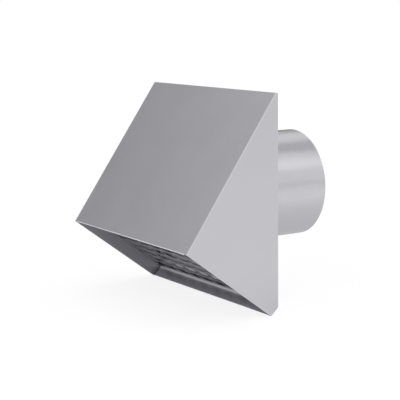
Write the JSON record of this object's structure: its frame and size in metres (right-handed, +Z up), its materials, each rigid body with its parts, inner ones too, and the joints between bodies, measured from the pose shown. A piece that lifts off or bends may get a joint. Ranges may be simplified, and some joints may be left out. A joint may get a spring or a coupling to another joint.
{
  "type": "wall vent terminal",
  "caption": "Galvanised wall vent terminal: slanted rain hood open at the bottom, perforated guard in the mouth, round duct spigot at the back.",
  "frame": {"origin": "on the spigot's axis, in the plane of the wall", "axes": "+Y along the spigot into the wall, +Z up, +X across the hood to the right as seen from the front"},
  "size_m": [0.2, 0.182, 0.19],
  "materials": {
    "hood_sheet": "galvanised, satin",
    "plate_sheet": "galvanised, satin",
    "spigot_sheet": "galvanised, semi-bright",
    "guard_metal": "galvanised, dull"
  },
  "bodies": {
    "root": {"hood": "hood_sheet", "back_plate": "plate_sheet", "spigot": "spigot_sheet", "mesh_guard": "guard_metal"}
  },
  "joints": []
}
